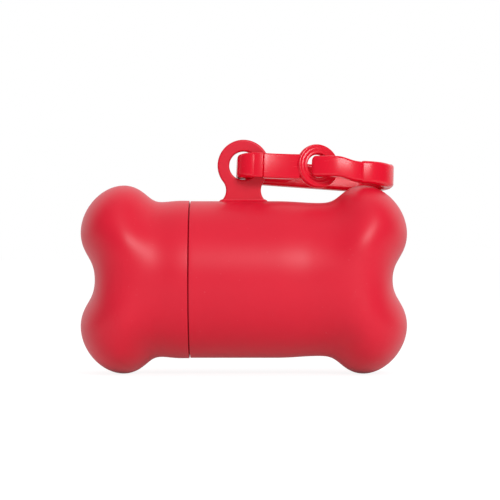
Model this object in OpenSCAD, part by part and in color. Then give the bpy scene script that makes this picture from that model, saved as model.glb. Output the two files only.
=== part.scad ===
// Bone-shaped dispenser for rolled waste bags, with a push-on end cap and a sprung clip.
// The barrel lies along X, the lower knobs stand on Z = 0, and the eyelet points up.

/* [Bone] */
// Overall length over the knobs
bone_l = 85; // [82:0.5:92]
// Outer diameter of the barrel
barrel_d = 40.8; // [40:0.1:42]
// Diameter of the waist between the barrel and the closed end
body_waist_d = 40.2; // [39.6:0.1:40.6]
// Diameter of the waist behind the cap's rim
cap_waist_d = 39.2; // [38.6:0.1:40]
// Wall thickness of the shells
wall = 2; // [1.6:0.1:2.4]
// Length of the cap, from its rim to its knobs
cap_l = 28.6; // [27.6:0.2:30]
// Fine groove that shows between the cap and the body
seam_gap = 0.3; // [0.2:0.05:0.6]

/* [Knobs] */
// Distance between the centres of the two knobs of one end
knob_spread = 30.8; // [29:0.1:32]
// Distance from the end of the bone back to the knobs' centres
knob_back = 8.7; // [8:0.1:9.6]
// Long diameter of a knob, seen from the front
knob_long = 18.4; // [17:0.2:19.6]
// Short diameter of a knob, seen from the front
knob_short = 13.6; // [12.4:0.2:14.6]
// Diameter of a knob from front to back
knob_deep = 33; // [30:0.5:36]
// Lean of a knob's long diameter towards the end
knob_tilt = 36; // [30:1:42]
// Depth of the notch between the knobs, below the end of the bone
notch_deep = 4.1; // [3.4:0.1:5]

/* [Neck] */
// Outer diameter of the neck that the cap slides over
neck_d = 35.1; // [34.6:0.1:35.6]
// Wall of the neck
neck_wall = 1.5; // [1.2:0.1:1.9]
// Length of the neck beyond the rim
neck_l = 9; // [6:0.5:10]
// Running clearance between the neck and the cap's bore, on the radius
neck_fit = 0.05; // [0.02:0.01:0.1]

/* [Bag slot] */
// Length of the slot that the bags are pulled through
slot_l = 26; // [20:1:30]
// Width of the slot
slot_w = 8; // [7:0.25:9]
// Angle of the slot below the level of the axis, at the back
slot_drop = 14; // [8:1:24]
// Distance from the web behind the neck to the slot
slot_inset = 0.5; // [0.3:0.1:2]

/* [Bag roll] */
// Diameter of the full roll
roll_d = 30; // [27:0.5:30.6]
// Length of the roll
roll_l = 56; // [48:1:57]
// Outer diameter of the card core
core_d = 14.6; // [12:0.2:18]
// Wall of the card core
core_wall = 0.8; // [0.6:0.1:1.4]
// Gap between the roll and the neck that it lies in
roll_gap = 0.3; // [0.2:0.05:0.5]
// Width of the bag end that comes out of the slot
tail_w = 19; // [14:1:22]
// Thickness of the folded bag end
tail_t = 0.4; // [0.3:0.05:0.6]

/* [Eyelet] */
// Outer diameter of the eyelet
eye_d = 13.5; // [13:0.1:15]
// Diameter of its hole
eye_hole_d = 7.4; // [7.2:0.1:7.8]
// Height of its hole above the barrel's axis
eye_h = 29.6; // [29:0.1:31]
// Thickness of the eyelet's plate
eye_t = 3.2; // [2.6:0.1:3.6]
// Width of the stem at its narrowest
stem_w = 9.1; // [8:0.1:10]
// Height of the narrowest place above the barrel's axis
stem_h = 23.2; // [22.6:0.1:24]

/* [Clip] */
// Length of the clip from the eyelet's hole to its far end
clip_l = 39.4; // [37:0.2:42]
// Height of the clip
clip_h = 6.1; // [5.6:0.1:6.2]
// Height of the clip's bar where it passes through the eyelet
clip_bar_h = 5.5; // [4.8:0.1:5.6]
// Thickness of the bar in the eyelet
clip_bar_t = 2.7; // [2.4:0.1:2.9]
// Thickness of the rail
clip_rail_t = 2.9; // [2.4:0.1:3.2]
// Outer width of the clip at its far end
clip_w = 17.6; // [16.8:0.2:19]
// Fall of the clip to the right at rest
clip_fall = 2.2; // [2:0.1:3.5]
// Lean of the clip at rest, front high and back low
clip_lean = 9; // [8:0.5:10]
// Turn of the clip in the eyelet, far end to the back
clip_yaw = 3; // [2:0.5:4]
// How far the clip hangs below the centre of the hole
clip_drop = 0.3; // [0.1:0.05:0.4]

/* [Gate] */
// Thickness of the sprung strip
gate_t = 2; // [1.6:0.1:2.2]
// Height of the sprung strip
gate_h = 6.3; // [5.8:0.1:6.6]
// Diameter of the ring at the end of the strip
ring_d = 11.5; // [11:0.1:12]
// Hole of the ring
ring_hole_d = 6; // [5.6:0.1:6.4]
// Thickness of the ring
ring_t = 2; // [1.8:0.1:2.2]
// Turn of the ring's face against the strip
ring_turn = 24; // [20:1:26]

/* [Hidden] */
$fn = 96;
red = [0.87, 0.12, 0.2];
clip_red = [0.92, 0.08, 0.2];
film = [0.16, 0.2, 0.24];
card = [0.74, 0.6, 0.42];
hair = 0.01;

// Bone form: two egg-shaped knobs and a rounded core at each end, melted into one skin
blend = 4;
square = 3;
knob_x = bone_l / 2 - knob_back;
knob_z = knob_spread / 2;
core_back = 0.5;
core_end = bone_l / 2 - notch_deep - core_back;
rim_x = -(bone_l / 2 + hair - cap_l) - seam_gap / 2;
body_left = rim_x + seam_gap;
web_x = body_left + wall;
cap_core = [knob_x - 17.9, cap_waist_d / 2];
body_core = [knob_x - 25.2, body_waist_d / 2];
polar_x = knob_x - 7.8;
// Length over which the barrel turns into the free form
ease_l = 9;
ring_n = 64;
station_n = 6;
polar_n = 18;
// The skin is looked for between these distances, by halving
near = knob_short / 3;
far = bone_l * 0.4;
halvings = 15;

// Radii that fit into each other
barrel_r = barrel_d / 2;
bore_r = barrel_r - wall;
neck_r = neck_d / 2;
neck_bore_r = neck_r - neck_wall;
cap_bore_r = neck_r + neck_fit;
cap_rim_r = barrel_r + 0.1;
cap_rim_l = 2.2;
// The faceted ends stand this much proud of the round they grow from
facet_lift = 1.003;
hollow_lift = 0.2;
roll_r = roll_d / 2;
roll_fall = neck_bore_r - roll_r - roll_gap;
roll_inset = 13.4;
roll_x = roll_inset - bone_l / 2;

// Clip in its own plan: u runs along it, v to the back, w up; the hole's centre is at 0
bar_u = -0.2;
corner_r = 2.6;
corner_v = 1.9;
bend_r = clip_w / 2 - clip_rail_t / 2;
bend_u = clip_l - clip_w / 2;
bend_v = 0.7;
hinge = [4.2, -4.6];
hinge_r = 0.85;
ring_back = 11.3;
ring_u = bend_u - ring_back;
ring_v = -4.3;
section_n = 16;

function knobNorm(u, v, y) = norm([u / knob_short, v / knob_long, y / knob_deep]) * 2;
function oneKnob(x, y, z) =
    let (dx = x - knob_x, dz = z - knob_z)
    knobNorm(cos(knob_tilt) * dx + sin(knob_tilt) * dz, cos(knob_tilt) * dz - sin(knob_tilt) * dx, y);
function coreNorm(core, x, rho) =
    pow(pow(max(x - core[0], 0) / (core_end - core[0]), square) + pow(rho / core[1], square), 1 / square);
// Positive inside the skin, negative outside
function skin(core, p) =
    exp(-blend * (coreNorm(core, p[0], norm([p[1], p[2]])) - 1))
    + exp(-blend * (oneKnob(p[0], p[1], p[2]) - 1))
    + exp(-blend * (oneKnob(p[0], p[1], -p[2]) - 1)) - 1;
// Distance from a point inside to the skin, along a direction
function reach(core, from, dir, lo, hi, steps) =
    let (mid = (lo + hi) / 2)
    steps == 0 ? mid
    : skin(core, from + dir * mid) > 0 ? reach(core, from, dir, mid, hi, steps - 1)
    : reach(core, from, dir, lo, mid, steps - 1);
// Directions round the axis, half a step off level, so that a facet lies under each knob
function around(n, i) = let (a = 360 * (i + 0.5) / n) [0, cos(a), sin(a)];
function reversed(list) = [for (i = [len(list) - 1 : -1 : 0]) list[i]];
function ease(t) = let (s = min(max(t, 0), 1)) s * s * (3 - 2 * s);

// Rings of one end, for x above 0: round stations first, then rays from a point on the axis
function stationRing(core, x, start_x, start_r, thick, n) =
    [for (i = [0 : n - 1])
        let (dir = around(n, i),
             free = reach(core, [x, 0, 0], dir, near, far, halvings),
             r = start_r + (free - start_r) * ease((x - start_x) / ease_l))
        [x, 0, 0] + dir * (r - thick)];
function rayRing(core, angle, start_x, start_r, thick, n) =
    [for (i = [0 : n - 1])
        let (dir = sin(angle) * around(n, i) + [cos(angle), 0, 0],
             free = reach(core, [polar_x, 0, 0], dir, near, far, halvings),
             r = start_r + (free - start_r) * ease((polar_x - start_x) / ease_l))
        [polar_x, 0, 0] + dir * (r - thick)];
function endRings(core, start_x, start_r, thick, n, m, from_x) =
    concat(
        [for (j = [0 : station_n - 1])
            stationRing(core, from_x + (polar_x - from_x) * j / station_n, start_x, start_r, thick, n)],
        [for (j = [0 : m - 1]) rayRing(core, 90 * (1 - j / m), start_x, start_r, thick, n)]);
function endTip(core, thick) =
    [polar_x + reach(core, [polar_x, 0, 0], [1, 0, 0], near, far, halvings) - thick, 0, 0];

// Skin over a row of rings, closed flat at both ends or with a tip at the last
module ringedSolid(rings, tip = []) {
    n = len(rings[0]);
    m = len(rings);
    sides = [for (j = [0 : m - 2], i = [0 : n - 1])
        let (a = j * n + i, b = j * n + (i + 1) % n)
        each [[a, a + n, b + n], [a, b + n, b]]];
    last = [for (i = [0 : n - 1]) (m - 1) * n + i];
    fan = [for (i = [0 : n - 1]) [last[i], m * n, last[(i + 1) % n]]];
    foot = [[for (i = [0 : n - 1]) i]];
    polyhedron(concat([for (ring = rings) each ring], tip),
        concat(sides, foot, tip == [] ? [reversed(last)] : fan));
}
module boneEnd(core, start_x, start_r) {
    ringedSolid(endRings(core, start_x, start_r * facet_lift, 0, ring_n, polar_n, start_x), [endTip(core, 0)]);
}
// The same form inside the wall, with fewer faces
module boneHollow(core, start_x, start_r, from_x) {
    ringedSolid(endRings(core, start_x, start_r, wall, ring_n / 2, polar_n / 2, from_x), [endTip(core, wall)]);
}
module tubeX(r, x0, x1) {
    translate([x0, 0, 0]) rotate([0, 90, 0]) cylinder(r = r, h = x1 - x0);
}

// Height of the axis over the floor: the knobs' reach
knob_rings = endRings(body_core, body_core[0], barrel_r, 0, ring_n, polar_n, body_core[0]);
axis_z = max([for (ring = knob_rings, p = ring) p[2]]);

slot_x = web_x + slot_inset + slot_l / 2;
module slotTool() {
    reach_out = barrel_r + wall;
    straight = slot_l - slot_w;
    translate([slot_x, 0, 0]) rotate([-slot_drop, 0, 0]) rotate([-90, 0, 0]) {
        for (side = [-1, 1]) translate([side * straight / 2, 0, 0]) cylinder(d = slot_w, h = reach_out);
        translate([-straight / 2, -slot_w / 2, 0]) cube([straight, slot_w, reach_out]);
    }
}

module eyeletPlate() {
    fillet_side = stem_w / 2;
    eye_r = eye_d / 2;
    least_fillet = 0.5;
    // A round that touches the eyelet and the stem's narrowest place, which leaves room for it
    rise = max(eye_h - stem_h, sqrt(pow(eye_r, 2) - pow(fillet_side, 2)) + least_fillet);
    narrow_z = eye_h - rise;
    fillet_r = (pow(fillet_side, 2) + pow(rise, 2) - pow(eye_r, 2)) / (2 * (eye_r - fillet_side));
    out = fillet_side + fillet_r;
    touch_z = eye_h - rise * eye_r / (eye_r + fillet_r);
    foot_z = barrel_r - wall * 0.7;
    rotate([90, 0, 0]) translate([0, 0, -eye_t / 2]) linear_extrude(eye_t) difference() {
        union() {
            translate([0, eye_h]) circle(d = eye_d);
            translate([-out, foot_z]) square([2 * out, touch_z - foot_z]);
        }
        for (side = [-1, 1]) translate([side * out, narrow_z]) circle(r = fillet_r);
        translate([0, eye_h]) circle(d = eye_hole_d);
    }
}

module body_shell() {
    start_x = body_core[0];
    color(red) translate([0, 0, axis_z]) difference() {
        union() {
            tubeX(barrel_r, body_left, start_x);
            boneEnd(body_core, start_x, barrel_r);
            tubeX(neck_r, rim_x - neck_l, body_left + hair);
            eyeletPlate();
        }
        tubeX(neck_bore_r, rim_x - neck_l - hair, web_x + hair);
        tubeX(bore_r, web_x, start_x + hair);
        boneHollow(body_core, start_x, barrel_r + hollow_lift, start_x - wall);
        slotTool();
    }
}

module end_cap() {
    start_x = -rim_x + cap_rim_l;
    color(red) translate([0, 0, axis_z]) difference() {
        union() {
            tubeX(cap_rim_r, -start_x, rim_x);
            mirror([1, 0, 0]) boneEnd(cap_core, start_x, cap_rim_r);
        }
        tubeX(cap_bore_r, rim_x - neck_l - wall, rim_x + hair);
        mirror([1, 0, 0]) boneHollow(cap_core, start_x, cap_rim_r, neck_l - rim_x + wall / 2);
    }
}

module bag_roll() {
    color(film) translate([0, 0, axis_z - roll_fall]) difference() {
        tubeX(roll_r, roll_x, roll_x + roll_l);
        tubeX(core_d / 2, roll_x - wall, roll_x + roll_l + wall);
    }
}

module roll_core() {
    color(card) translate([0, 0, axis_z - roll_fall]) difference() {
        tubeX(core_d / 2, roll_x, roll_x + roll_l);
        tubeX(core_d / 2 - core_wall, roll_x - wall, roll_x + roll_l + wall);
    }
}

// Strip of film from the roll, out over the slot's lower lip and down the back
tail_hug = roll_r + roll_gap + tail_t / 2;
tail_lip = slot_w / 2 - roll_gap - tail_t / 2;
tail_out = max(barrel_r, body_waist_d / 2) + roll_gap + tail_t / 2;
tail_back = 0.6;
tail_bend = 9.5;
tail_start = -76;
tail_end = -58;
tail_steps = 3;
function lipPoint(r) =
    [r * cos(slot_drop) - tail_lip * sin(slot_drop), -r * sin(slot_drop) - tail_lip * cos(slot_drop)];
tail_in = lipPoint(bore_r - tail_back) + [0, roll_fall];
// The film leaves the roll where a straight line to the lip touches it
tail_leave = atan2(tail_in[1], tail_in[0]) - acos(tail_hug / norm(tail_in));
tail_turn = asin(lipPoint(tail_out)[1] / tail_out) - tail_bend;
function hug(r, from, to, down) =
    [for (i = [0 : tail_steps]) let (a = from + (to - from) * i / tail_steps) [r * cos(a), r * sin(a) - down]];
tail_path = concat(
    hug(tail_hug, tail_start, tail_leave, roll_fall),
    [lipPoint(bore_r - tail_back), lipPoint(barrel_r + tail_t / 4)],
    hug(tail_out, tail_turn, tail_end, 0));
function heading(path, i) =
    let (a = path[max(i - 1, 0)], b = path[min(i + 1, len(path) - 1)], d = [b[0] - a[0], b[1] - a[1]])
    d / norm(d);
function beside(path, off) =
    [for (i = [0 : len(path) - 1]) let (d = heading(path, i)) path[i] + off * [-d[1], d[0]]];

module bag_tail() {
    color(film) translate([slot_x - tail_w / 2, 0, axis_z]) rotate([90, 0, 90]) linear_extrude(tail_w)
        polygon(concat(beside(tail_path, tail_t / 2), reversed(beside(tail_path, -tail_t / 2))));
}

// The clip at rest: its plan leans, turns a little in the eyelet, and falls to the right until it lies
// on the knob
clip_rest = 0.4;
knob_fall = asin((eye_h - clip_drop - clip_h / 2 - clip_rest - axis_z) / knob_x);
module atClip() {
    translate([0, 0, axis_z + eye_h - clip_drop])
        rotate([0, min(clip_fall, knob_fall), 0]) rotate([-clip_lean, 0, 0]) rotate([0, 0, clip_yaw]) children();
}

// Stations of the clip's bent bar: u, v, thickness, height
function arcStations(c, r, from, to, n, size0, size1) =
    [for (i = [0 : n])
        let (a = from + (to - from) * i / n)
        concat([c[0] + r * cos(a), c[1] + r * sin(a)], size0 + (size1 - size0) * i / n)];
rail_slope = asin((bend_r - corner_r) / norm([bend_u - bar_u - corner_r, bend_v - corner_v]))
    + atan2(bend_v - corner_v, bend_u - bar_u - corner_r);
front_size = [clip_bar_t, clip_h];
bar_size = [clip_bar_t, clip_bar_h];
rail_size = [clip_rail_t, clip_h - 0.2];
bend_size = [clip_rail_t, clip_h - 0.4];
nose_size = [2.5, clip_h - 0.8];
nose_c = [bend_u - 6.35, 4.9];
nose_r = 13.1;
nose_end = -116;
nose_tip = nose_c + (nose_r - 0.2) * [cos(nose_end - 1.6), sin(nose_end - 1.6)];
clip_stations = concat(
    arcStations([bar_u + corner_r, -corner_v], corner_r, -77, -180, 7, front_size, bar_size),
    arcStations([bar_u + corner_r, corner_v], corner_r, 180, 90 + rail_slope, 6, bar_size, rail_size),
    arcStations([bend_u, bend_v], bend_r, 90 + rail_slope, -88, 17, rail_size, bend_size),
    [[bend_u - 0.8, bend_v - bend_r + 0.35, clip_rail_t - 1.2, clip_h - 0.6]],
    arcStations(nose_c, nose_r, -67, nose_end, 9, nose_size, nose_size - [0.1, 0.2]),
    [[nose_tip[0], nose_tip[1], 1.5, clip_h - 2]]);
function sectionRing(i) =
    let (s = clip_stations[i], d = heading(clip_stations, i), out = [-d[1], d[0]])
    [for (k = [0 : section_n - 1])
        let (a = 360 * k / section_n,
             side = sign(cos(a)) * pow(abs(cos(a)), 0.6),
             up = sign(sin(a)) * pow(abs(sin(a)), 0.6),
             p = [s[0], s[1]] + out * side * s[2] / 2)
        [p[0], p[1], up * s[3] / 2]];

// Catch under the nose that holds the ring
catch_at = [-0.2, -2.1, 0];
catch_d = 2.2;
catch_in = 1.2;

module clip_body() {
    color(clip_red) atClip() {
        ringedSolid([for (i = [0 : len(clip_stations) - 1]) sectionRing(i)]);
        translate([ring_u, ring_v, 0] + catch_at) cylinder(d = catch_d, h = clip_h - 2 * catch_in, center = true);
    }
}

module ringBody() {
    mid = (ring_d + ring_hole_d) / 4;
    half = (ring_d - ring_hole_d) / 4;
    rotate_extrude() polygon([for (a = [0 : 22.5 : 359])
        [mid + half * sign(cos(a)) * pow(abs(cos(a)), 0.7), ring_t / 2 * sign(sin(a)) * pow(abs(sin(a)), 0.7)]]);
}

// The strip is thin and low where it bends, and ends inside the ring's rim
thin_l = 2;
thin_over = 0.7;
thin_in = 0.2;
thin_low = 0.6;
strip_in = 1.2;

module clip_gate() {
    rim = ring_d / 2 - strip_in;
    tip = [ring_u - rim * cos(ring_turn), ring_v - rim * sin(ring_turn)];
    slope = atan2(tip[1] - hinge[1], tip[0] - hinge[0]);
    strip_l = norm(tip - hinge);
    start = thin_l - thin_over;
    color(clip_red) atClip() {
        translate([hinge[0], hinge[1], 0]) {
            cylinder(r = hinge_r, h = gate_h - 2 * thin_low, center = true);
            rotate([0, 0, slope]) translate([0, -gate_t / 2, -gate_h / 2]) {
                translate([0, thin_in, thin_low]) cube([thin_l, gate_t - 2 * thin_in, gate_h - 2 * thin_low]);
                translate([start, 0, 0]) cube([strip_l - start, gate_t, gate_h]);
            }
        }
        translate([ring_u, ring_v, 0]) rotate([0, 0, ring_turn]) rotate([90, 0, 0]) ringBody();
    }
}

body_shell();
end_cap();
bag_roll();
roll_core();
bag_tail();
clip_body();
clip_gate();
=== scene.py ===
# Red bone-shaped dispenser for waste bags: body, push-on cap, roll of bags and a sprung clip
import math

import bmesh
import bpy
import numpy as np
from mathutils import Matrix, Vector, geometry


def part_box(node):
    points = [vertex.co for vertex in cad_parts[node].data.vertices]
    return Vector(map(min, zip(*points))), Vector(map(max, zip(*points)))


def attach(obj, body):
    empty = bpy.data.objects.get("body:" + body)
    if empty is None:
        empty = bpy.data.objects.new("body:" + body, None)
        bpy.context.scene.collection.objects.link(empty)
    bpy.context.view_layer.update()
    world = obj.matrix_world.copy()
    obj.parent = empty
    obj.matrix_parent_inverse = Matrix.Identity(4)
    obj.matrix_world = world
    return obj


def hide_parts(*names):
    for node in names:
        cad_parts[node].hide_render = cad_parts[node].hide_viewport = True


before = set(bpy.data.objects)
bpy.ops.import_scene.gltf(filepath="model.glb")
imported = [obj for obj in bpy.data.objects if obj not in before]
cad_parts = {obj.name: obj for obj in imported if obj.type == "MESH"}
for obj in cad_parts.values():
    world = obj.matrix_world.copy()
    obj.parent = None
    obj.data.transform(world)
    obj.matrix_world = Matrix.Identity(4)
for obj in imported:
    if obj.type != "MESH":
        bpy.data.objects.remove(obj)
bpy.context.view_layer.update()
mm = 0.001
print("frame loaded:", ", ".join(sorted(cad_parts)))


# Lowest and highest corner of a node, in millimetres
def nodeBox(name):
    low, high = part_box(name)
    return np.array(low) / mm, np.array(high) / mm


capLow, capHigh = nodeBox("end_cap")
axisZ = (capLow[2] + capHigh[2]) / 2  # height of the barrel's axis
rimX = capHigh[0]  # where the cap ends
neckX = nodeBox("body_shell")[0][0]  # where the neck ends

view = {
    "distance": 572,  # from the camera to the barrel's axis
    "field": 130.25,  # width that the picture shows at the axis
    "aimX": 1.706,
    "aimUp": 7.67,  # the picture's middle over the barrel's axis
    "sensor": 36,
    "nearest": 0.05,  # in metres, like the farthest
    "farthest": 20,
}


def makeCamera():
    data = bpy.data.cameras.new("camera")
    data.sensor_width = view["sensor"]
    data.lens = view["sensor"] * view["distance"] / view["field"]
    data.clip_start = view["nearest"]
    data.clip_end = view["farthest"]
    camera = bpy.data.objects.new("camera", data)
    camera.location = Vector((view["aimX"], -view["distance"], axisZ + view["aimUp"])) * mm
    camera.rotation_euler = (math.pi / 2, 0, 0)
    bpy.context.scene.collection.objects.link(camera)
    bpy.context.scene.camera = camera


makeCamera()
print("camera set")


# A socket in a sum: each operator adds its Math node
class Wire:
    def __init__(self, finish, socket):
        self.finish = finish
        self.socket = socket

    def sum(self, operation, first, second):
        return self.finish.node("ShaderNodeMath", {"operation": operation}, {0: first, 1: second})

    def __add__(self, other):
        return self.sum("ADD", self, other)

    def __radd__(self, other):
        return self.sum("ADD", other, self)

    def __sub__(self, other):
        return self.sum("SUBTRACT", self, other)

    def __rsub__(self, other):
        return self.sum("SUBTRACT", other, self)

    def __mul__(self, other):
        return self.sum("MULTIPLY", self, other)

    def __rmul__(self, other):
        return self.sum("MULTIPLY", other, self)


# A material, or the world, and the nodes that go into it
class Finish:
    def __init__(self, owner):
        self.owner = owner
        owner.use_nodes = True
        self.tree = owner.node_tree
        self.tree.nodes.clear()

    def node(self, kind, settings=None, inputs=None, output=0):
        made = self.tree.nodes.new(kind)
        for name, value in (settings or {}).items():
            if name == "stops":
                self.setStops(made.color_ramp, value)
            else:
                setattr(made, name, value)
        for name, value in (inputs or {}).items():
            if isinstance(value, Wire):
                self.tree.links.new(value.socket, made.inputs[name])
            else:
                made.inputs[name].default_value = value
        return Wire(self, made.outputs[output]) if made.outputs else None

    def setStops(self, ramp, stops):
        while len(ramp.elements) < len(stops):
            ramp.elements.new(1)
        for element, (place, level) in zip(ramp.elements, stops):
            element.position = place
            element.color = (level, level, level, 1)

    def noise(self, place, scale, detail=2, rough=0.5):
        return self.node("ShaderNodeTexNoise", {}, {
            "Vector": place, "Scale": scale, "Detail": detail, "Roughness": rough})

    def ramp(self, wire, *stops):
        return self.node("ShaderNodeValToRGB", {"stops": stops}, {"Fac": wire})

    def bump(self, look, height):
        return self.node("ShaderNodeBump", {}, {
            "Strength": look["bump"], "Distance": look["bumpDeep"], "Height": height})

    def mix(self, factor, first, second):
        return self.node("ShaderNodeMix", {"data_type": "RGBA"}, {0: factor, 6: first, 7: second}, 2)


def newFinish(name):
    return Finish(bpy.data.materials.new(name))


def endFinish(finish, inputs):
    shader = finish.node("ShaderNodeBsdfPrincipled", {}, inputs)
    finish.node("ShaderNodeOutputMaterial", {}, {"Surface": shader})
    return finish.owner


shellLook = {
    "red": (0.765, 0.003, 0.029, 1),
    "deepRed": (0.695, 0.002, 0.024, 1),
    "dust": (0.9, 0.45, 0.45, 1),
    "speckShare": 0.1,  # how far specks and rubs turn the red into dust
    "rubShare": 0.015,
    "rough": 0.42,
    "ior": 1.47,
    "cloud": 55,  # this and the next three: how fine each noise is
    "grain": 4200,
    "specks": 1500,
    "rubs": 130,
    "bump": 0.11,
    "bumpDeep": 0.00006,
}


# Satin red plastic: a fine moulded grain, cloudy gloss, and a few pale specks and rubs
def shellPlastic():
    finish = newFinish("satinRedPlastic")
    place = finish.node("ShaderNodeTexCoord", output=3)
    cloud = finish.noise(place, shellLook["cloud"], 3)
    grain = finish.noise(place, shellLook["grain"], 2, 0.6)
    specks = finish.ramp(finish.noise(place, shellLook["specks"], 1), (0.76, 0), (0.82, 1))
    rubs = finish.ramp(finish.noise(place, shellLook["rubs"], 5, 0.7), (0.66, 0), (0.8, 1))
    red = finish.mix(cloud, shellLook["deepRed"], shellLook["red"])
    dust = specks * shellLook["speckShare"] + rubs * shellLook["rubShare"]
    red = finish.mix(dust, red, shellLook["dust"])
    normal = finish.bump(shellLook, grain * 0.7 + specks * 0.6)
    return endFinish(finish, {
        "Base Color": red,
        "Roughness": shellLook["rough"] - 0.04 + cloud * 0.08 + rubs * 0.1,
        "IOR": shellLook["ior"],
        "Normal": normal})


clipLook = {
    "red": (0.82, 0.003, 0.028, 1),
    "deepRed": (0.76, 0.002, 0.022, 1),
    "rough": 0.25,
    "ior": 1.5,
    "cloud": 140,
    "scuffs": (60, 900, 900),  # long along the barrel
    "bump": 0.12,
    "bumpDeep": 0.0002,
}


# Glossy red plastic: soft waves left by the mould, and hairline scuffs
def clipPlastic():
    finish = newFinish("glossRedPlastic")
    place = finish.node("ShaderNodeTexCoord", output=3)
    cloud = finish.noise(place, clipLook["cloud"], 2)
    stretched = finish.node("ShaderNodeMapping", {}, {"Vector": place, "Scale": clipLook["scuffs"]})
    scuffs = finish.ramp(finish.noise(stretched, 1, 4, 0.7), (0.6, 0), (0.75, 1))
    red = finish.mix(cloud, clipLook["deepRed"], clipLook["red"])
    normal = finish.bump(clipLook, cloud + scuffs * 0.15)
    return endFinish(finish, {
        "Base Color": red,
        "Roughness": clipLook["rough"] + scuffs * 0.12,
        "IOR": clipLook["ior"],
        "Normal": normal})


filmLook = {
    "dark": (0.012, 0.02, 0.028, 1),
    "pale": (0.045, 0.062, 0.08, 1),
    "rough": 0.38,
    "ior": 1.5,
    "cloud": 210,
    "creases": 700,
    "bump": 0.25,
    "bumpDeep": 0.00015,
}


# Thin dark film: cloudy thickness and fine creases
def bagFilm():
    finish = newFinish("darkFilm")
    place = finish.node("ShaderNodeTexCoord", output=3)
    cloud = finish.noise(place, filmLook["cloud"], 4)
    creases = finish.ramp(finish.noise(place, filmLook["creases"], 3, 0.7), (0.45, 0), (0.55, 1))
    return endFinish(finish, {
        "Base Color": finish.mix(cloud, filmLook["dark"], filmLook["pale"]),
        "Roughness": filmLook["rough"] + cloud * 0.2,
        "IOR": filmLook["ior"],
        "Normal": finish.bump(filmLook, creases)})


cardLook = {
    "dark": (0.34, 0.21, 0.1, 1),
    "pale": (0.6, 0.42, 0.24, 1),
    "rough": 0.75,
    "fibres": (400, 2200, 2200),
    "bump": 0.3,
    "bumpDeep": 0.0001,
}


# Grey-brown card with its fibres
def rawCard():
    finish = newFinish("rawCard")
    place = finish.node("ShaderNodeTexCoord", output=3)
    stretched = finish.node("ShaderNodeMapping", {}, {"Vector": place, "Scale": cardLook["fibres"]})
    fibres = finish.noise(stretched, 1, 5, 0.7)
    return endFinish(finish, {
        "Base Color": finish.mix(fibres, cardLook["dark"], cardLook["pale"]),
        "Roughness": cardLook["rough"] + fibres * 0.2,
        "Normal": finish.bump(cardLook, fibres)})


shellRed = shellPlastic()
clipRed = clipPlastic()
film = bagFilm()
card = rawCard()
print("finishes made")


# A piece from points in millimetres, with clean normals and crisp corners past a given angle
def makePiece(name, points, faces, body, finish, replaced=(), corner=38):
    mesh = bpy.data.meshes.new(name)
    mesh.from_pydata([tuple(p) for p in np.asarray(points, float) * mm], [], faces)
    work = bmesh.new()
    work.from_mesh(mesh)
    bmesh.ops.delete(work, geom=[v for v in work.verts if not v.link_faces], context="VERTS")
    bmesh.ops.recalc_face_normals(work, faces=work.faces)
    work.to_mesh(mesh)
    work.free()
    mesh.polygons.foreach_set("use_smooth", [True] * len(mesh.polygons))
    mesh.set_sharp_from_angle(angle=math.radians(corner))
    mesh.materials.append(finish)
    piece = bpy.data.objects.new(name, mesh)
    bpy.context.scene.collection.objects.link(piece)
    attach(piece, body)
    if replaced:
        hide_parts(*replaced)
    return piece


# Faces between rings of as many points each; skip(j, i) leaves a cell out
def tubeFaces(rings, count, skip=None, closed=False):
    faces = []
    for j in range(rings if closed else rings - 1):
        a = j * count
        b = (j + 1) % rings * count
        for i in range(count):
            k = (i + 1) % count
            if skip is None or not skip(j, i):
                faces.append((a + i, a + k, b + k, b + i))
    return faces


# Points and faces of one skin, gathered from shells that may touch or cross
class Shells:
    def __init__(self):
        self.points = []
        self.faces = []

    def add(self, points, faces):
        first = len(self.points)
        self.points.extend(np.asarray(points, float).reshape(-1, 3))
        self.faces.extend(tuple(first + i for i in face) for face in faces)

    def addTube(self, rings, capped=True, closed=False):
        rings = np.asarray(rings, float)
        count = rings.shape[1]
        faces = tubeFaces(len(rings), count, closed=closed)
        if capped:
            faces.append(tuple(range(count)))
            faces.append(tuple(range((len(rings) - 1) * count, len(rings) * count)))
        self.add(rings, faces)


def ease(share):
    s = np.clip(share, 0, 1)
    return s * s * (3 - 2 * s)


# 0 up to a place, 1 from a length past it, and smooth between
def rise(value, start, length):
    return ease((value - start) / length)


# Quarter round: how far out and how deep, from the face (0) to the wall (1)
def quarter(radius, steps=6):
    angles = np.linspace(0, math.pi / 2, steps + 1)
    return list(zip(radius * (1 - np.sin(angles)), radius * (1 - np.cos(angles))))


bone = {
    "length": 85,
    "knobBack": 8.76,  # from the end back to the knobs' centres
    "knobSpread": 30.64,
    "knobLong": 18.4,
    "knobShort": 13.6,
    "knobDeep": 28.7,
    "knobTilt": math.radians(36),
    "notch": 4.6,  # from the end back to the core's end
    "blend": 4,
    "square": 3,
    "fill": 0.22,  # how far the core swells to the front and back between the knobs
    "limbX": 30.3,  # the limb that runs into each knob, on the front and on the back
    "limbUp": 10.7,
    "limbTilt": math.radians(75.5),
    "limbLong": 6.1,
    "limbShort": 5.2,
    "limbDeep": 12.2,
    "limbShare": 2.85,
    "limbFade": 6,
    "limbBlend": 3.06,
    "wall": 2,
    "easeL": 9,  # over how long the round barrel grows into the free form
    "near": 4,  # between these radii the skin is looked for
    "far": 34,
    "halvings": 28,
    "around": 256,
    "rays": 64,
    "stations": 14,  # from the slot to the knobs
    "edge": 0.12,
    "seamDeep": 0.9,  # how deep the seam shows, down to the thin step that the cap stops on
    "stepLong": 0.22,
    "stepEdge": 0.07,
    "mouthOuter": 0.45,  # rounds at the neck's mouth
    "mouthInner": 0.35,
    "webEdge": 0.25,  # where the neck's bore widens to the chamber
    "webRound": 0.15,
}
barrelR = 20.4
neckR = 17.55
neckBoreR = 16.05
seamGap = 0.3
knobX = bone["length"] / 2 - bone["knobBack"]
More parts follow.
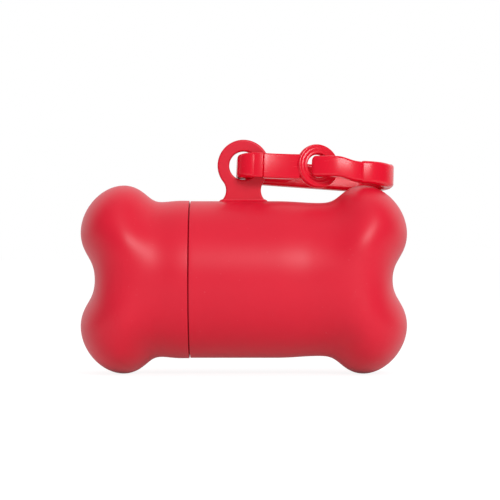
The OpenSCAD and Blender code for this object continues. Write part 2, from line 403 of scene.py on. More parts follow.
coreEnd = bone["length"] / 2 - bone["notch"]
polarX = knobX - 7.8
# A core's start and radius, and where its swelling starts and over how long it grows
bodyCore = (knobX - 25.2, 20.1, 14.9, 27.3)
capCore = (knobX - 17.9, 19.6, 12.9, 37)
cap = {
    "rimStep": 0.1,  # how far the rim stands over the barrel
    "rimFlat": 2.2,
    "fit": 0.05,  # of the bore round the neck
    "mouth": 0.3,
    "boreFrom": 2,
    "boreMore": 1.5,  # how much farther the bore goes than the neck
    "boreEdge": 0.3,
    "boreStep": 0.1,
    "stations": 24,
}
slot = {
    "length": 26,
    "width": 8,
    "angle": math.radians(-14),
    "inset": 0.5,
    "edge": 0.5,
    "innerEdge": 0.3,
    "margin": 1.2,  # from the slot to the border of the cells that it takes
    "columns": 11,
    "cells": 36,
    "outerRows": (0.35, 0.7, 0.93),  # how far from the border to the lip each row lies
    "innerRows": (0.7, 0.35),
}
turns = slot["angle"] + 2 * math.pi * np.arange(bone["around"]) / bone["around"]
around = np.stack([0 * turns, np.cos(turns), np.sin(turns)], 1)


def knobNorm(x, y, z):
    c, s = math.cos(bone["knobTilt"]), math.sin(bone["knobTilt"])
    dx, dz = x - knobX, z - bone["knobSpread"] / 2
    u = (c * dx + s * dz) / bone["knobShort"]
    v = (c * dz - s * dx) / bone["knobLong"]
    return 2 * np.sqrt(u * u + v * v + (y / bone["knobDeep"]) ** 2)


# The limb below a knob, which fades out towards the outline seen from the front
def limbForm(x, y, z):
    c, s = math.cos(bone["limbTilt"]), math.sin(bone["limbTilt"])
    dx, dz = x - bone["limbX"], z - bone["limbUp"]
    u = (c * dx + s * dz) / bone["limbLong"]
    v = (c * dz - s * dx) / bone["limbShort"]
    far = np.sqrt(u * u + v * v + (y / bone["limbDeep"]) ** 2)
    facing = y * y / (y * y + z * z + bone["limbFade"] ** 2)
    return bone["limbShare"] * facing * np.exp(-bone["limbBlend"] * (far - 1))


# Positive inside the melted skin of two knobs with their limbs, and a rounded core
def skin(core, points):
    x, y, z = points[..., 0], points[..., 1], points[..., 2]
    along = np.clip(x - core[0], 0, None) / (coreEnd - core[0])
    square = bone["square"]
    swell = 1 - bone["fill"] * rise(x, *core[2:])
    coreNorm = (along ** square + (np.hypot(y * swell, z) / core[1]) ** square) ** (1 / square)
    parts = [coreNorm, knobNorm(x, y, z), knobNorm(x, y, -z)]
    limbs = limbForm(x, y, z) + limbForm(x, y, -z)
    return sum(np.exp(-bone["blend"] * (part - 1)) for part in parts) + limbs - 1


def reach(core, start, direction):
    low = np.full(direction.shape[:-1], float(bone["near"]))
    high = np.full(direction.shape[:-1], float(bone["far"]))
    for halving in range(bone["halvings"]):
        middle = (low + high) / 2
        inside = skin(core, start + direction * middle[..., None]) > 0
        low = np.where(inside, middle, low)
        high = np.where(inside, high, middle)
    return (low + high) / 2


# Radius of a bone end at places along and round the axis
def shellRadius(core, startX, startR, x, turn):
    x, turn = np.broadcast_arrays(np.asarray(x, float), np.asarray(turn, float))
    direction = np.stack([0 * turn, np.cos(turn), np.sin(turn)], -1)
    start = np.stack([x, 0 * x, 0 * x], -1)
    free = reach(core, start, direction)
    return startR + (free - startR) * rise(x, startX, bone["easeL"])


# Rings along the stations, then along rays from a place on the axis, with the tip last
def boneRings(core, startX, startR, thick, stations):
    rings = []
    for x in stations:
        radius = shellRadius(core, startX, startR, x, turns) - thick
        rings.append(np.array([x, 0, 0]) + around * radius[:, None])
    share = rise(polarX, startX, bone["easeL"])
    for j in range(1, bone["rays"]):
        angle = math.pi / 2 * (1 - j / bone["rays"])
        direction = math.sin(angle) * around + np.array([math.cos(angle), 0, 0])
        free = reach(core, np.array([polarX, 0, 0]), direction)
        radius = startR + (free - startR) * share - thick
        rings.append(np.array([polarX, 0, 0]) + direction * radius[:, None])
    tip = reach(core, np.array([polarX, 0, 0]), np.array([[1.0, 0, 0]]))[0] - thick
    return rings, np.array([polarX + tip, 0, 0])


def roundRings(profile):
    return [np.array([x, 0, 0]) + around * radius for x, radius in profile]


# Points and faces of a closed skin from its rings, where the first and the last ring end in a tip
def skinFaces(rings, firstTip, lastTip, skip=None):
    count = bone["around"]
    faces = tubeFaces(len(rings), count, skip=skip)
    points = [p for ring in rings for p in ring]
    for ringAt, tip in ((0, firstTip), (len(rings) - 1, lastTip)):
        first = ringAt * count
        faces += [(first + i, first + (i + 1) % count, len(points)) for i in range(count)]
        points.append(tip)
    return points, faces


# Rings of the slot's lip and wall, from the outer face through to the inner one
def slotRows(outerBox, innerBox):
    slotX = rimX + seamGap + bone["wall"] + slot["inset"] + slot["length"] / 2
    half = slot["width"] / 2
    straight = slot["length"] / 2 - half

    def surface(x, t, sink):
        turn = slot["angle"] + np.arcsin(t / barrelR)
        radius = shellRadius(bodyCore, bodyCore[0], barrelR, x, turn) - sink
        out = np.sqrt(radius * radius - t * t)
        c, s = math.cos(slot["angle"]), math.sin(slot["angle"])
        return np.stack([x, out * c - t * s, out * s + t * c], 1)

    middle = np.clip(outerBox[:, 0] - slotX, -straight, straight) + slotX
    middle = np.stack([middle, 0 * middle], 1)
    away = outerBox - middle
    away /= np.linalg.norm(away, axis=1)[:, None]

    def lip(off):
        return middle + away * (half + off)

    rows = []
    for share in slot["outerRows"]:
        place = outerBox + (lip(slot["edge"]) - outerBox) * share
        rows.append(surface(place[:, 0], place[:, 1], 0))
    for off, deep in quarter(slot["edge"]):
        rows.append(surface(lip(off)[:, 0], lip(off)[:, 1], deep))
    for off, deep in reversed(quarter(slot["innerEdge"])):
        rows.append(surface(lip(off)[:, 0], lip(off)[:, 1], bone["wall"] - deep))
    for share in slot["innerRows"]:
        place = innerBox + (lip(slot["edge"]) - innerBox) * share
        rows.append(surface(place[:, 0], place[:, 1], bone["wall"]))
    return rows


def bodyShell():
    edge = bone["edge"]
    left = rimX + seamGap
    webX = left + bone["wall"]
    count = bone["around"]
    cells = slot["cells"]
    slotLeft = webX + slot["inset"]
    slotRight = slotLeft + slot["length"] + slot["margin"]
    beyond = np.linspace(slotRight, polarX, bone["stations"])[1:]
    outerX = [left + edge, *np.linspace(slotLeft - slot["margin"], slotRight, cells + 1), *beyond]
    innerX = [webX, *np.linspace(webX + edge, slotRight, cells + 1), *beyond]
    start = (bodyCore, bodyCore[0], barrelR)
    outer, outerTip = boneRings(*start, 0, outerX)
    inner, innerTip = boneRings(*start, bone["wall"], innerX)
    boreR = barrelR - bone["wall"]
    rim = [(left + off, barrelR - deep) for off, deep in quarter(edge)]
    stopR = barrelR - bone["seamDeep"]
    stepX = left - bone["stepLong"]
    chamfer = bone["stepEdge"]
    neck = [(left, stopR), (stepX + chamfer, stopR), (stepX, stopR - chamfer), (stepX, neckR)]
    mouth = [(neckX + off, neckR - deep) for off, deep in quarter(bone["mouthOuter"])]
    lip = [(neckX + off, neckBoreR + deep) for off, deep in quarter(bone["mouthInner"])][::-1]
    web = [(webX - bone["webEdge"], neckBoreR), (webX, neckBoreR + bone["webEdge"]),
           (webX, boreR - bone["webRound"])]
    profile = rim[1:] + neck + mouth + lip + web
    rings = outer[::-1] + roundRings(profile) + inner
    outerAt = len(outer) - 1  # ring number of the outer face's first station
    innerAt = len(outer) + len(profile)
    half = slot["columns"]

    # The slot's cells on either face, by ring and column
    def inSlot(j, i):
        column = (i + half) % count < 2 * half
        outerCell = outerAt - 1 - cells <= j < outerAt - 1
        innerCell = innerAt + 1 <= j < innerAt + 1 + cells
        return column and (outerCell or innerCell)

    points, faces = skinFaces(rings, outerTip, innerTip, inSlot)

    # The border of those cells, once round, and the rows that join the two borders
    border = [(0, i) for i in range(-half, half)]
    border += [(j, half) for j in range(cells)]
    border += [(cells, i) for i in range(half, -half, -1)]
    border += [(j, -half) for j in range(cells, 0, -1)]

    def borderPlaces(stations, radius):
        return np.array([(stations[1 + j], radius * math.sin(2 * math.pi * i / count)) for j, i in border])

    rows = [[(outerAt - 1 - j) * count + i % count for j, i in border]]
    for row in slotRows(borderPlaces(outerX, barrelR), borderPlaces(innerX, boreR)):
        rows.append(list(range(len(points), len(points) + len(row))))
        points.extend(row)
    rows.append([(innerAt + 1 + j) * count + i % count for j, i in border])
    for a, b in zip(rows, rows[1:]):
        for i in range(len(border)):
            k = (i + 1) % len(border)
            faces.append((a[i], a[k], b[k], b[i]))
    points = np.array(points) + np.array([0, 0, axisZ])
    return makePiece("bodyShell", points, faces, "body", shellRed, ["body_shell"])


def capShell():
    edge = bone["edge"]
    rimR = barrelR + cap["rimStep"]
    rim = -rimX
    startX = rim + cap["rimFlat"]
    boreR = neckR + cap["fit"]
    boreEnd = -neckX + cap["boreMore"]
    start = (capCore, startX, rimR)
    outer, outerTip = boneRings(*start, 0, [rim + edge, *np.linspace(startX, polarX, cap["stations"])])
    inner, innerTip = boneRings(*start, bone["wall"], [polarX])
    rimEdge = [(rim + off, rimR - deep) for off, deep in quarter(edge)]
    mouth = [(rim + off, boreR + deep) for off, deep in quarter(cap["mouth"])][::-1]
    bore = [(rim + cap["boreFrom"], boreR), (boreEnd - cap["boreEdge"], boreR),
            (boreEnd, boreR + cap["boreStep"])]
    profile = rimEdge[1:] + mouth + bore
    rings = outer[::-1] + roundRings(profile) + inner
    points, faces = skinFaces(rings, outerTip, innerTip)
    points = np.array(points) * np.array([-1, 1, 1]) + np.array([0, 0, axisZ])
    return makePiece("endCap", points, faces, "cap", shellRed, ["end_cap"])


bodyShell()
capShell()
print("bone made")

eye = {
    "ringD": 13.5,
    "holeD": 7.4,
    "height": 29.6,  # of the hole's centre over the barrel's axis, as the stem's is
    "thick": 3.2,
    "stemW": 9.1,
    "stemH": 23.2,
    "edge": 0.5,
    "foot": 1.4,  # how deep the plate's foot goes into the barrel
    "fillet": 0.8,  # round between the plate's faces and the barrel
    "filletMore": 0.4,  # how far that round runs past the plate's sides
    "filletSteps": 41,
    "filletRoot": (0.4, 0.5),  # how far its hidden edge lies inside the plate, and in the barrel
    "sunk": 0.02,
}
eyeR = eye["ringD"] / 2
stemR = eye["stemW"] / 2
stemRise = eye["height"] - eye["stemH"]
# Radius of the rounds that lead from the barrel up the stem and into the ring
stemFilletR = (stemR ** 2 + stemRise ** 2 - eyeR ** 2) / (2 * (eyeR - stemR))


def arc(centre, radius, start, end, steps):
    angles = np.radians(np.linspace(start, end, steps + 1))
    return [(centre[0] + radius * math.cos(a), centre[1] + radius * math.sin(a)) for a in angles]


# Outline of the eyelet from the front, anticlockwise: the foot, both fillets and the ring
def eyeOutline():
    out = stemR + stemFilletR
    meet = math.degrees(math.atan2(stemRise, out))  # direction from a fillet's centre to the hole
    footZ = barrelR - eye["foot"]
    right = arc((out, eye["stemH"]), stemFilletR, 270, 180 - meet, 30)
    ring = arc((0, eye["height"]), eyeR, -meet, 180 + meet, 72)
    left = arc((-out, eye["stemH"]), stemFilletR, meet, -90, 30)
    return np.array([(out, footZ)] + right + ring[1:-1] + left + [(-out, footZ)])


def inwards(outline, distance):
    ahead = np.roll(outline, -1, 0) - np.roll(outline, 1, 0)
    ahead /= np.linalg.norm(ahead, axis=1)[:, None]
    return outline + distance * np.stack([-ahead[:, 1], ahead[:, 0]], 1)


# A plate with rounded edges between an outline and a hole, lying across Y
def roundedPlate(shells, outline, hole, thick, edge):
    def rows(loop):
        made = [(inwards(loop, edge + 0.08), 0)]
        made += [(inwards(loop, off), deep) for off, deep in quarter(edge)]
        front = [(flat, -thick / 2 + deep) for flat, deep in made]
        back = [(flat, thick / 2 - deep) for flat, deep in reversed(made)]
        return [np.stack([f[:, 0], 0 * f[:, 0] + y, f[:, 1]], 1) for f, y in front + back]

    outer = rows(outline)
    inner = rows(hole)
    for loop in (outer, inner):
        shells.addTube(loop, capped=False)
    for at in (0, -1):
        loops = [[Vector(p) for p in outer[at]], [Vector(p) for p in inner[at]]]
        shells.add([p for loop in loops for p in loop], geometry.tessellate_polygon(loops))


# The round that the plate's front and back stand in
def footFillets(shells):
    inner = math.sqrt(stemFilletR ** 2 - (eye["stemH"] - barrelR) ** 2)
    half = stemR + stemFilletR - inner + eye["filletMore"]
    faceY = eye["thick"] / 2
    rootIn, rootDown = eye["filletRoot"]
    turn = np.linspace(0, math.pi / 2, 9)
    for sign in (-1, 1):
        rings = []
        for x in np.linspace(-half, half, eye["filletSteps"]):
            size = eye["fillet"] * math.sqrt(max(0.02, 1 - (x / half) ** 6))
            footZ = math.sqrt(barrelR ** 2 - (faceY + size) ** 2)
            y = faceY + size * (1 - np.cos(turn)) - eye["sunk"]
            z = footZ + size * (1 - np.sin(turn)) - eye["sunk"]
            root = (x, sign * (faceY - rootIn), footZ - rootDown)
            rings.append([(x, sign * a, b) for a, b in zip(y, z)] + [root])
        shells.addTube(rings)


def eyelet():
    shells = Shells()
    hole = np.array(arc((0, eye["height"]), eye["holeD"] / 2, 360, 0, 64)[:-1])
    roundedPlate(shells, eyeOutline(), hole, eye["thick"], eye["edge"])
    footFillets(shells)
    points = np.array(shells.points) + np.array([0, 0, axisZ])
    piece = makePiece("eyelet", points, shells.faces, "body", shellRed)
    work = bmesh.new()
    work.from_mesh(piece.data)
    bmesh.ops.remove_doubles(work, verts=work.verts, dist=1e-7)
    bmesh.ops.recalc_face_normals(work, faces=work.faces)
    work.to_mesh(piece.data)
    work.free()
    return piece


eyelet()
print("eyelet made")

clip = {
    "length": 39.4,
    "width": 17.6,
    # Sections along the bar: thickness, height and corner radius
    "bar": (2.7, 6, 1),
    "front": (2.7, 6.45, 0.75),
    "face": (0.63, 6.45, 0.3),
    "neck": (1.3, 5.9, 0.4),
    "rail": (2.9, 6.4, 0.9),
    "far": (2.9, 5.8, 0.85),
    "nose": (2.5, 5.3, 0.75),
    "noseTip": (2.4, 5.45, 0.75),
    "channel": 0.45,  # depth of the shallow channel along the rail's inner face
    "fall": math.radians(2.2),
    "lean": math.radians(9),
    "yaw": math.radians(3),
    "drop": 0.3,
    "barU": -0.4,
    "cornerR": 2.6,
    "cornerV": 1.9,
    "bendV": 0.7,
    "hinge": (4.2, -4.6),
    "blockEnd": 2.42,
    "faceEnd": 4.64,  # the block's face runs on over the neck, in front of the gate's root
    "railSteps": 24,
    # The V groove before the nose: how far before the round end, front face and back face
    "groove": ((0.4, -7.98, -5.25), (0.5, -7.85, -5.35), (0.66, -7.15, -5.45),
               (0.84, -7.95, -5.6), (0.92, -8.14, -5.7), (1.04, -8.26, -5.75)),
    "grooveSection": (5.4, 0.8),
    "noseR": 13.1,
    "noseBack": 6.35,  # from the round end's centre back to the centre of the nose's arc
    "noseV": 4.9,
    "noseStart": -67,
    "noseEnd": -116,
    "noseRound": 1.25,
    "frontDrop": 0.9,  # how far the round end hangs below the nose's tip, at the groove
    "frontAlong": (23.7, 5.3),  # where along the clip that droop starts, and over how long it grows
    "endDrop": 0.7,
    "endAlong": (30, 9),
    "railDrop": 0.4,
    "railAlong": (-1, 6),
    "railBack": (0, 3),  # the same across the clip, to the back
    "legDrop": 0.3,  # all that lies in front of the eyelet
    "legFront": (1, 2.5),  # the same to the front
    "turnFront": (-6, 9),  # where the rail's droop turns into the front's
    "turnAlong": (8, 12),
}
bendR = clip["width"] / 2 - clip["rail"][0] / 2
bendU = clip["length"] - clip["width"] / 2
clipPlace = (Matrix.Translation((0, 0, axisZ + eye["height"] - clip["drop"]))
             @ Matrix.Rotation(clip["fall"], 4, "Y")
             @ Matrix.Rotation(-clip["lean"], 4, "X")
             @ Matrix.Rotation(clip["yaw"], 4, "Z"))


# From the clip's own plan (u along, v to the back, w up) to the frame
def fromClip(points):
    turn = np.array(clipPlace.to_3x3())
    return np.asarray(points, float) @ turn.T + np.array(clipPlace.translation)


# Rounded oblong, as offsets across and up, with straight sides between its corners
def oblong(thick, height, corner, steps=6):
    corner = min(corner, thick / 2 - 0.01, height / 2 - 0.01)
    loop = []
    for k, (side, up) in enumerate(((1, 1), (-1, 1), (-1, -1), (1, -1))):
        middle = (side * (thick / 2 - corner), up * (height / 2 - corner))
        loop += arc(middle, corner, 90 * k, 90 * (k + 1), steps)
    return np.array(loop)


# Rings of a bent bar; a station is u, v, thickness, height, corner radius and the inner channel's depth
def barRings(stations):
    stations = np.array([(*station, 0)[:6] for station in stations], float)
    ahead = np.gradient(stations[:, :2], axis=0)
    ahead /= np.linalg.norm(ahead, axis=1)[:, None]
    rings = []
    for (u, v, thick, height, corner, channel), (du, dv) in zip(stations, ahead):
        loop = oblong(thick, height, corner)
        sunk = channel * ease((1 - np.abs(loop[:, 1]) / (0.4 * height)) / 0.5)
        across = loop[:, 0] + np.where(loop[:, 0] < 0, sunk, 0)
        rings.append(np.stack([u - dv * across, v + du * across, loop[:, 1]], 1))
    return rings


# Stations along an arc of the plan, with sizes that change evenly
def bend(centre, radius, start, end, steps, first, last):
    sizes = np.linspace(first, last, steps + 1)
    return [(*p, *size) for p, size in zip(arc(centre, radius, start, end, steps), sizes)]


# A bar's end, rounded towards its tip
def roundEnd(station, ahead, radius, steps=7):
    u, v, thick, height, corner = station
    made = []
    for s in range(1, steps + 1):
        angle = math.pi / 2 * s / (steps + 0.3)
        lost = 2 * radius * (1 - math.cos(angle))
        step = radius * math.sin(angle)
        made.append((u + ahead[0] * step, v + ahead[1] * step, thick - 0.9 * lost, height - lost, corner))
    return made


# The clip hangs below its own plan: the round end and the rail droop, the nose's tip doesn't
def clipDroop(points):
    points = np.asarray(points, float)
    u, v = points[..., 0], points[..., 1]
    front = clip["frontDrop"] * rise(u, *clip["frontAlong"])
    front += (clip["endDrop"] - clip["frontDrop"]) * rise(u, *clip["endAlong"])
    back = clip["railDrop"] * rise(u, *clip["railAlong"]) * rise(v, *clip["railBack"])
    share = rise(-v, *clip["turnFront"]) * rise(u, *clip["turnAlong"])
    leg = clip["legDrop"] * rise(-v, *clip["legFront"])
    lowered = points.copy()
    lowered[..., 2] -= back * (1 - share) + front * share + leg
    return lowered


def clipBody():
    hingeU, hingeV = clip["hinge"]
    neckThick, *neckShape = clip["neck"]
    bar, front, face = clip["bar"], clip["front"], clip["face"]
    blockV = clip["cornerV"] + clip["cornerR"]
    corner = (clip["barU"] + clip["cornerR"], clip["cornerV"])
    reachU, reachV = bendU - corner[0], clip["bendV"] - corner[1]
    slope = math.degrees(math.asin((bendR - clip["cornerR"]) / math.hypot(reachU, reachV))
                         + math.atan2(reachV, reachU))
    stations = []
    for angle in np.radians([12, 30, 50, 70, 86]):  # the neck's end is round about the hinge
        endU = hingeU + neckThick / 2 * math.cos(angle)
        stations.append((endU, hingeV, neckThick * math.sin(angle), *neckShape))
    blockEnd = clip["blockEnd"]
    stations.append((hingeU - 0.06, hingeV, *clip["neck"]))
    stations += [(blockEnd + 0.08, -blockV, *clip["neck"]), (blockEnd, -blockV, *front)]
    stations += bend((corner[0], -corner[1]), clip["cornerR"], -88, -180, 24, front, bar)
    rail = (*clip["rail"], clip["channel"])
    stations += bend(corner, clip["cornerR"], 180, 90 + slope, 20, (*bar, 0), rail)
    railEnd = bend((bendU, clip["bendV"]), bendR, 90 + slope, -91, 64, rail, (*clip["far"], 0))
    stations += list(np.linspace(stations[-1], railEnd[0], clip["railSteps"] + 1)[1:-1]) + railEnd
    for along, frontV, backV in clip["groove"]:
        middle = (frontV + backV) / 2
        stations.append((bendU - along, middle, backV - frontV, *clip["grooveSection"]))
    noseC = (bendU - clip["noseBack"], clip["noseV"])
    arcEnds = (clip["noseStart"], clip["noseEnd"])
    stations += bend(noseC, clip["noseR"], *arcEnds, 30, clip["nose"], clip["noseTip"])
    tip = math.radians(clip["noseEnd"] - 90)
    stations += roundEnd(stations[-1], (math.cos(tip), math.sin(tip)), clip["noseRound"])
    shells = Shells()
    shells.addTube(barRings(stations))
    faceV = -blockV - (bar[0] - face[0]) / 2
    shells.addTube(barRings([(clip["faceEnd"], faceV, *face), (blockEnd + 0.02, faceV, *face),
                             (blockEnd - 0.42, faceV + 0.25, *face)]))
    points = fromClip(clipDroop(shells.points))
    return makePiece("clipBar", points, shells.faces, "clip", clipRed, ["clip_body"])


gate = {
    "band": (2, 6.45, 0.45),  # thickness, height and corner radius
    # The band's root: place from the hinge, and the section there
    "root": ((0.1, 1.1, 5.55, 0.3), (0.6, 1.2, 5.65, 0.3), (0.75, 2, 6.35, 0.4)),
    "thin": 0.8,  # how much the band thins to the ring
    "thinFrom": (0.6, 0.4),
    "ringD": 11.5,
    "ringHoleD": 6,
    "ringThick": 2,
    "ringTurn": math.radians(18),
    "ringU": bendU - 11.6,
    "ringV": -4.3,
    "ringRise": 0.3,
    "ringIn": 0.9,  # how far the band's tip lies inside the ring, and behind it
    "ringBehind": 0.45,
    "bandDrop": 0.3,
    "bow": 0.3,  # how far the band bends inwards between its ends
    "lines": 3,  # turned lines on the ring's faces
    "lineDeep": 0.028,
    "ringRound": 0.85,
    "lineSteps": 37,
    "lineFlat": 0.4,  # half of the flat stretch that has the lines, as a share of the ring's width
}


# The ring's section: rounded, with turned lines on both faces
def ringSection():
    wide = (gate["ringD"] - gate["ringHoleD"]) / 2
    outline = oblong(wide, gate["ringThick"], gate["ringRound"], 10)
    flat = np.linspace(gate["lineFlat"], -gate["lineFlat"], gate["lineSteps"]) * wide
    top = np.stack([flat, 0 * flat + gate["ringThick"] / 2], 1)
    side = len(outline) // 4
    section = np.concatenate([outline[:side], top, outline[side:3 * side], -top, outline[3 * side:]])
    place = section[:, 0] / wide + 0.5
    line = np.cos(2 * math.pi * gate["lines"] * place) * rise(-np.abs(place - 0.5), -0.42, 0.06)
    section[:, 1] -= gate["lineDeep"] * line * np.sign(section[:, 1])
    return section


def clipGate():
    shells = Shells()
    c, s = math.cos(gate["ringTurn"]), math.sin(gate["ringTurn"])
    rim = gate["ringD"] / 2 - gate["ringIn"]
    tip = np.array([gate["ringU"] - rim * c, gate["ringV"] - rim * s + gate["ringBehind"]])
    hinge = np.array(clip["hinge"])
    length = np.linalg.norm(tip - hinge)
    along = (tip - hinge) / length
    thick, *shape = gate["band"]
    stations = [(*(hinge + along * far), *section) for far, *section in gate["root"]]
    for share in np.linspace(0.12, 1, 12):
        thin = gate["thin"] * rise(share, *gate["thinFrom"])
        bow = 4 * gate["bow"] * share * (1 - share)
        middle = hinge + along * length * share + np.array([0, bow - thin / 2])
        stations.append((*middle, thick - thin, *shape))
    band = np.array(barRings(stations))
    band[..., 2] -= gate["bandDrop"]
    shells.addTube(band)
    section = ringSection()
    middle = (gate["ringD"] + gate["ringHoleD"]) / 4
    rings = []
    for a in np.linspace(0, 2 * math.pi, 128, endpoint=False):
        radius = middle + section[:, 0]
        x, y, z = radius * math.cos(a), section[:, 1], radius * math.sin(a)
        u, v = gate["ringU"] + x * c - y * s, gate["ringV"] + x * s + y * c
        rings.append(np.stack([u, v, z + gate["ringRise"]], 1))
    shells.addTube(rings, capped=False, closed=True)
    points = fromClip(shells.points)
    return makePiece("gateBar", points, shells.faces, "gate", clipRed, ["clip_gate"])


clipBody()
clipGate()
print("clip made")

rollLow, rollHigh = nodeBox("bag_roll")
coreLow, coreHigh = nodeBox("roll_core")
roll = {
    "outerR": (rollHigh[2] - rollLow[2]) / 2,
    "coreR": (coreHigh[2] - coreLow[2]) / 2,
    "coreWall": 0.8,
    "coreEdge": 0.12,
    "layers": 14,
    "layerHigh": 0.22,
    "endSteps": 90,
    "endIn": 0.25,
    "around": 160,
}
rollAxis = np.array([0, (rollLow[1] + rollHigh[1]) / 2, (rollLow[2] + rollHigh[2]) / 2])


# A closed ring round the roll's axis; profileAt gives its section, as x and radius, at each angle
def turned(profileAt, count):
    shells = Shells()
    rings = []
    for a in np.linspace(0, 2 * math.pi, count, endpoint=False):
        rings.append([(x, r * math.cos(a), r * math.sin(a)) for x, r in profileAt(a)])
    shells.addTube(rings, capped=False, closed=True)
    return np.array(shells.points) + rollAxis, shells.faces


# Film wound on the core: its ends show the windings as a spiral of fine steps
def filmRoll():
    low, high = roll["coreR"] + 0.02, roll["outerR"]
    steps = np.linspace(low, high, roll["endSteps"])
    pitch = (high - low) / roll["layers"]

    def wound(a):
        turn = (steps - low) / pitch - a / (2 * math.pi)
        step = roll["layerHigh"] * (turn - np.floor(turn) - 0.5)
        left = rollLow[0] + roll["endIn"] - step
        right = rollHigh[0] - roll["endIn"] + step
        return [*zip(left, steps), *zip(right[::-1], steps[::-1])]

    points, faces = turned(wound, roll["around"])
    return makePiece("filmRoll", points, faces, "roll", film, ["bag_roll"])


def cardCore():
    r0, r1 = roll["coreR"] - roll["coreWall"], roll["coreR"] - 0.01
    a, b, e = coreLow[0], coreHigh[0], roll["coreEdge"]
    profile = [(a + e, r1), (a, r1 - e), (a, r0 + e), (a + e, r0),
               (b - e, r0), (b, r0 + e), (b, r1 - e), (b - e, r1)]
    points, faces = turned(lambda angle: profile, 128)
    return makePiece("cardCore", points, faces, "roll", card, ["roll_core"])


filmRoll()
cardCore()
print("roll made")

tailLow, tailHigh = nodeBox("bag_tail")
tail = {
    "gap": 0.3,  # between the bag and what it passes
    "thick": 0.4,
    "film": 0.1,
    "back": 0.6,  # how deep below the wall it turns out to the slot
    "bend": 9.5,
    "start": -76,  # in degrees round the barrel, as the end is
    "end": -58,
    "columns": 48,
    "rows": 90,
    "smoothing": 6,
    "ripple": 0.05,
    "flare": 0.5,  # how far its free end waves off the barrel
    "flareFrom": (0.55, 0.4),
}


# Middle line of the bag's end in Y and Z: round the roll, out over the slot's lower lip and down the back
def tailPath():
    fall = axisZ - rollAxis[2]
    hugR = roll["outerR"] + tail["gap"] + tail["thick"] / 2
    lip = slot["width"] / 2 - tail["gap"] - tail["thick"] / 2
    outR = barrelR + tail["gap"] + tail["thick"] / 2
    c, s = math.cos(-slot["angle"]), math.sin(-slot["angle"])

    def lipPoint(r):
        return np.array([r * c - lip * s, -r * s - lip * c])

    inside = lipPoint(barrelR - bone["wall"] - tail["back"])
    fromRoll = inside + np.array([0, fall])
    leave = math.degrees(math.atan2(fromRoll[1], fromRoll[0]) - math.acos(hugR / np.linalg.norm(fromRoll)))
    turn = math.degrees(math.asin(lipPoint(outR)[1] / outR)) - tail["bend"]
    path = [np.array(p) - np.array([0, fall]) for p in arc((0, 0), hugR, tail["start"], leave, 6)]
    path += [inside, lipPoint(barrelR + tail["thick"] / 4)]
    path += [np.array(p) for p in arc((0, 0), outR, turn, tail["end"], 6)]
    return np.array(path)


# The same line at even steps, smoothed between its points
def evenly(path, steps):
    gaps = np.linalg.norm(np.diff(path, axis=0), axis=1)
    along = np.concatenate([[0], np.cumsum(gaps)])
    places = np.linspace(0, along[-1], steps)
    smooth = np.stack([np.interp(places, along, path[:, k]) for k in (0, 1)], 1)
    for again in range(tail["smoothing"]):
        smooth[1:-1] = (smooth[:-2] + 2 * smooth[1:-1] + smooth[2:]) / 4
    return smooth


def bagTail():
    path = evenly(tailPath(), tail["rows"])
    ahead = np.gradient(path, axis=0)
    ahead /= np.linalg.norm(ahead, axis=1)[:, None]
    side = np.stack([-ahead[:, 1], ahead[:, 0]], 1)
    length = np.linalg.norm(np.diff(path, axis=0), axis=1).sum()
    width = tailHigh[0] - tailLow[0]
    across = np.linspace(0, 1, tail["columns"])
    sheets = []
    for face in (1, -1):
        sheet = []
        for j in range(tail["rows"]):
            free = tail["flare"] * rise(j / tail["rows"], *tail["flareFrom"])
            ripple = tail["ripple"] * np.sin(across * 31)
            ripple += free * (np.sin(across * 17 + 1 + j * 0.03) + 1) / 2
            off = face * tail["film"] / 2 - ripple
            y = path[j, 0] + side[j, 0] * off
            z = path[j, 1] + side[j, 1] * off + axisZ
            sheet.append(np.stack([tailLow[0] + width * across, y, z], 1))
        sheets.append(sheet)
    rings = [np.concatenate([top, bottom[::-1]]) for top, bottom in zip(*sheets)]
    shells = Shells()
    shells.addTube(rings)
    piece = makePiece("bagTail", shells.points, shells.faces, "body", film, ["bag_tail"], 50)
    length * mm
    return piece


bagTail()
print("bag's end made")

light = {
    "keyTurn": math.radians(23),  # to the right of the camera
    "keyRise": math.radians(31),
    "keyAway": 0.75,
    "keySize": (0.36, 0.2),
    "keyPower": 2.7,
    "topPower": 1.2,
    "topSize": (0.8, 0.8),
    "topPlace": (0, 0.1, 0.8),
    "sky": 0.5,
    "skyRise": 0.12,  # more from above, less from below
    "front": 0.03,  # how bright the room behind the camera is in reflections
    "frontTo": (0.1, 0.6),  # from where to where it grows to the white behind the object
    "floor": (0.8, 0.8, 0.8, 1),
    "floorSpan": 6,
    "floorGlow": 1.2,
    "floorMix": 0.75,  # the glow's share to the camera, and in reflections
    "floorGlossy": 0.2,
}


def addLamp(name, place, size, power, glossy=True):
    data = bpy.data.lights.new(name, "AREA")
    data.shape = "RECTANGLE"
    data.size, data.size_y = size
    data.energy = power
    lamp = bpy.data.objects.new(name, data)
    lamp.location = place
    lamp.visible_glossy = glossy
    aim = Vector((0, 0, axisZ * mm)) - lamp.location
    lamp.rotation_euler = aim.to_track_quat("-Z", "Y").to_euler()
    bpy.context.scene.collection.objects.link(lamp)


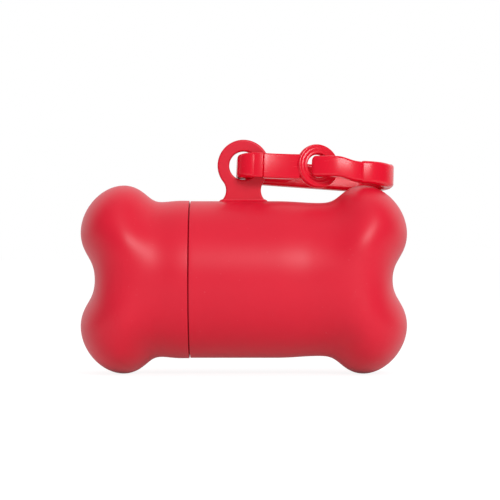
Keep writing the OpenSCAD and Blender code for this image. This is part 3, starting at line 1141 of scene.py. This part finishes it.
# White to the camera and behind the object, dimmer for the light that falls on it
def makeWorld():
    world = bpy.data.worlds.new("studio")
    bpy.context.scene.world = world
    sky = Finish(world)
    camera = sky.node("ShaderNodeLightPath", output="Is Camera Ray")
    glossy = sky.node("ShaderNodeLightPath", output="Is Glossy Ray")
    clear = sky.node("ShaderNodeLightPath", output="Is Transmission Ray")
    place = sky.node("ShaderNodeTexCoord", output="Generated")
    away = sky.node("ShaderNodeSeparateXYZ", {}, {0: place}, "Y")
    up = sky.node("ShaderNodeSeparateXYZ", {}, {0: place}, "Z")
    start, end = light["frontTo"]
    room = sky.node("ShaderNodeMapRange", {}, {0: away, 1: start, 2: end, 3: light["front"], 4: 1})
    rest = 1 - camera - clear - glossy
    strength = camera + clear + glossy * room + rest * (light["sky"] + up * light["skyRise"])
    back = sky.node("ShaderNodeBackground", {}, {"Color": (1, 1, 1, 1), "Strength": strength})
    sky.node("ShaderNodeOutputWorld", {}, {"Surface": back})


# Pale floor that glows white to the camera and keeps a soft shadow
def makeFloor():
    finish = newFinish("paleFloor")
    camera = finish.node("ShaderNodeLightPath", output="Is Camera Ray")
    glossy = finish.node("ShaderNodeLightPath", output="Is Glossy Ray")
    share = camera * light["floorMix"] + glossy * light["floorGlossy"]
    glow = finish.node("ShaderNodeEmission", {}, {"Color": (1, 1, 1, 1), "Strength": light["floorGlow"]})
    matt = finish.node("ShaderNodeBsdfDiffuse", {}, {"Color": light["floor"]})
    both = finish.node("ShaderNodeMixShader", {}, {0: share, 1: matt, 2: glow})
    finish.node("ShaderNodeOutputMaterial", {}, {"Surface": both})
    mesh = bpy.data.meshes.new("floor")
    span = light["floorSpan"]
    corners = [(-span, -span, 0), (span, -span, 0), (span, span, 0), (-span, span, 0)]
    mesh.from_pydata(corners, [], [(0, 1, 2, 3)])
    mesh.materials.append(finish.owner)
    floor = bpy.data.objects.new("floor", mesh)
    bpy.context.scene.collection.objects.link(floor)


def makeStage():
    bpy.context.scene.view_settings.view_transform = "Standard"
    across = light["keyAway"] * math.cos(light["keyRise"])
    key = (across * math.sin(light["keyTurn"]), -across * math.cos(light["keyTurn"]),
           light["keyAway"] * math.sin(light["keyRise"]) + axisZ * mm)
    addLamp("key", key, light["keySize"], light["keyPower"])
    addLamp("top", light["topPlace"], light["topSize"], light["topPower"], False)
    makeWorld()
    makeFloor()


makeStage()
print("stage lit")
